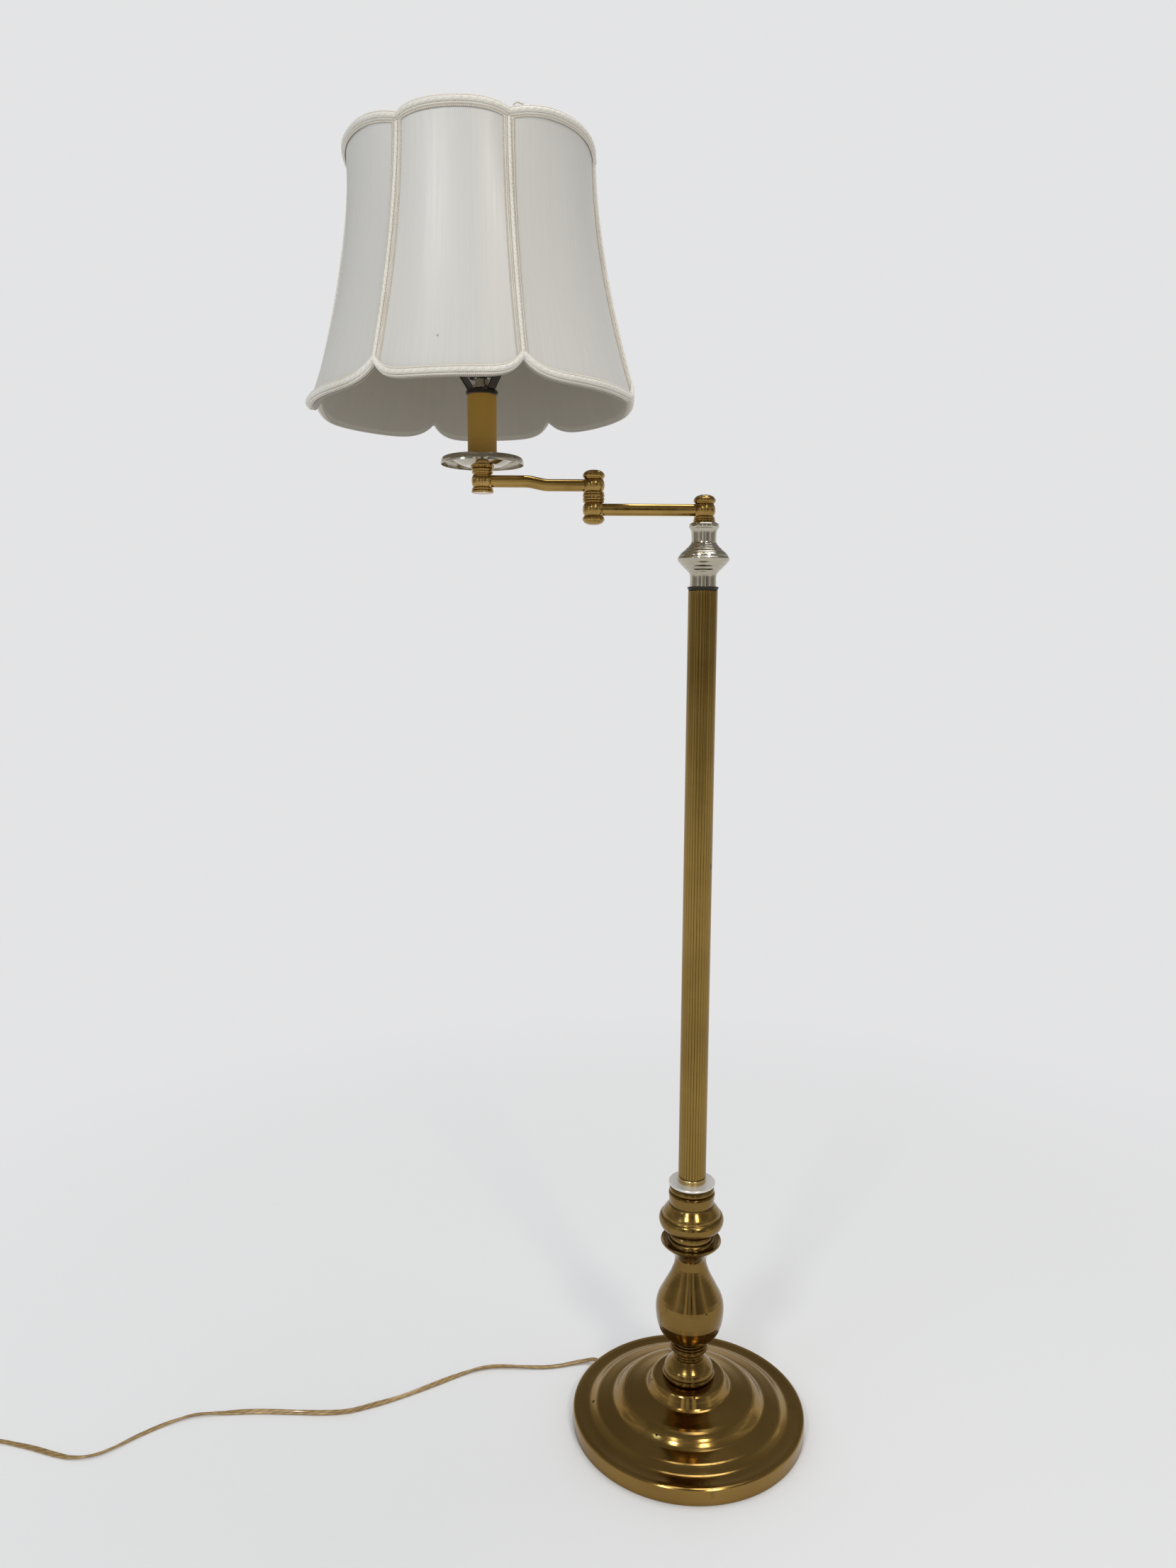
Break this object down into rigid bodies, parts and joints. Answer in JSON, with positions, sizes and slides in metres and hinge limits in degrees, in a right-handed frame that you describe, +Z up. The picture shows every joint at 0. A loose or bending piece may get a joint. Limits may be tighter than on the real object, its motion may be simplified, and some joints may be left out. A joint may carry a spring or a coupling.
{
  "type": "swing-arm floor lamp",
  "caption": "Floor lamp with a turned brass stand on a round base, a double swing arm, a candle-tube socket and a scalloped bell shade on a harp.",
  "frame": {"origin": "centre of the round base's underside, on the floor, on the stand's axis", "axes": "+Z up along the column; both arms lie along -X at rest; -Y is the front"},
  "size_m": [1.0069, 0.3442, 1.3703],
  "materials": {
    "felt": "dark felt",
    "iron": "rough cast iron",
    "steel": "zinc plated steel",
    "base_brass": "aged polished brass, spotted",
    "stem_brass": "aged polished brass",
    "column_brass": "aged brass, reeded",
    "nickel": "polished nickel plate",
    "black": "black ring",
    "arm_brass": "polished brass",
    "raw_brass": "plain brass",
    "wire": "brown wire insulation",
    "candle": "matte golden tan candle cover",
    "bronze": "dark bronze paint",
    "socket_brass": "dull brass shell",
    "bakelite": "dark brown moulded plastic",
    "bulb_metal": "bulb screw shell",
    "bulb_glass": "white bulb glass",
    "frame_wire": "plated shade wire",
    "lining": "plain lining cloth",
    "silk": "ivory silk",
    "trim": "ivory gimp trim",
    "cord": "clear gold twin cord",
    "cord_brown": "brown plastic bushing and plug"
  },
  "bodies": {
    "stand": {"felt_pad": "felt", "base_weight": "iron", "base_washer": "steel", "base_nut": "steel", "base_shell": "base_brass", "stem_pipe": "raw_brass", "stem_wire": "wire", "bell_foot": "stem_brass", "ringed_collar": "stem_brass", "baluster": "stem_brass", "ring_knop": "stem_brass", "cup": "stem_brass", "seat_plate": "nickel", "seat_ring": "arm_brass", "column": "column_brass", "black_ring": "black", "top_vase": "nickel", "column_post": "raw_brass", "column_post_nut": "raw_brass", "cord_bushing": "cord_brown", "power_cord": "cord", "cord_coil": "cord", "coil_tie": "cord_brown", "plug": "cord_brown", "plug_blades": "raw_brass"},
    "lower_arm": {"lower_knuckle": "arm_brass", "lower_knuckle_cap": "arm_brass", "lower_tube": "arm_brass", "lower_arm_wire": "wire", "middle_knuckle_lower": "arm_brass", "middle_knuckle_cap": "arm_brass", "middle_post": "raw_brass", "middle_post_nut": "raw_brass"},
    "upper_arm": {"middle_knuckle_upper": "arm_brass", "upper_knuckle_cap": "arm_brass", "upper_tube": "arm_brass", "upper_arm_wire": "wire", "end_knuckle": "arm_brass", "drip_pan": "nickel", "candle_tube": "candle", "candle_cap": "bronze", "candle_pipe": "raw_brass", "harp_saddle": "bronze", "socket_neck": "nickel", "socket_cap": "bronze", "socket_shell": "socket_brass", "socket_core": "bakelite", "bulb_base": "bulb_metal", "bulb_glass": "bulb_glass", "harp": "raw_brass", "finial": "arm_brass", "shade_spider": "frame_wire", "shade_wires": "frame_wire", "shade_lining": "lining", "shade_cover": "silk", "shade_trim": "trim", "seam_braids": "trim"},
    "switch": {"switch_knob": "bakelite"},
    "left_sleeve": {"harp_sleeve_left": "raw_brass"},
    "right_sleeve": {"harp_sleeve_right": "raw_brass"}
  },
  "joints": [
    {"name": "lower_arm_swing", "type": "hinge", "parent": "stand", "child": "lower_arm", "pos_m": [0, 0, 1.0212], "axis": [0, 0, 1], "range_deg": [-170, 170]},
    {"name": "upper_arm_swing", "type": "hinge", "parent": "lower_arm", "child": "upper_arm", "pos_m": [-0.1143, 0, 1.0455], "axis": [0, 0, 1], "range_deg": [-165, 165]},
    {"name": "switch_turn", "type": "hinge", "parent": "upper_arm", "child": "switch", "pos_m": [-0.2286, 0, 1.1724], "axis": [-0.7071, -0.7071, 0], "continuous": true},
    {"name": "left_sleeve_slide", "type": "slide", "parent": "upper_arm", "child": "left_sleeve", "axis": [0, 0, 1], "range_m": [0, 0.009]},
    {"name": "right_sleeve_slide", "type": "slide", "parent": "upper_arm", "child": "right_sleeve", "axis": [0, 0, 1], "range_m": [0, 0.009]}
  ]
}
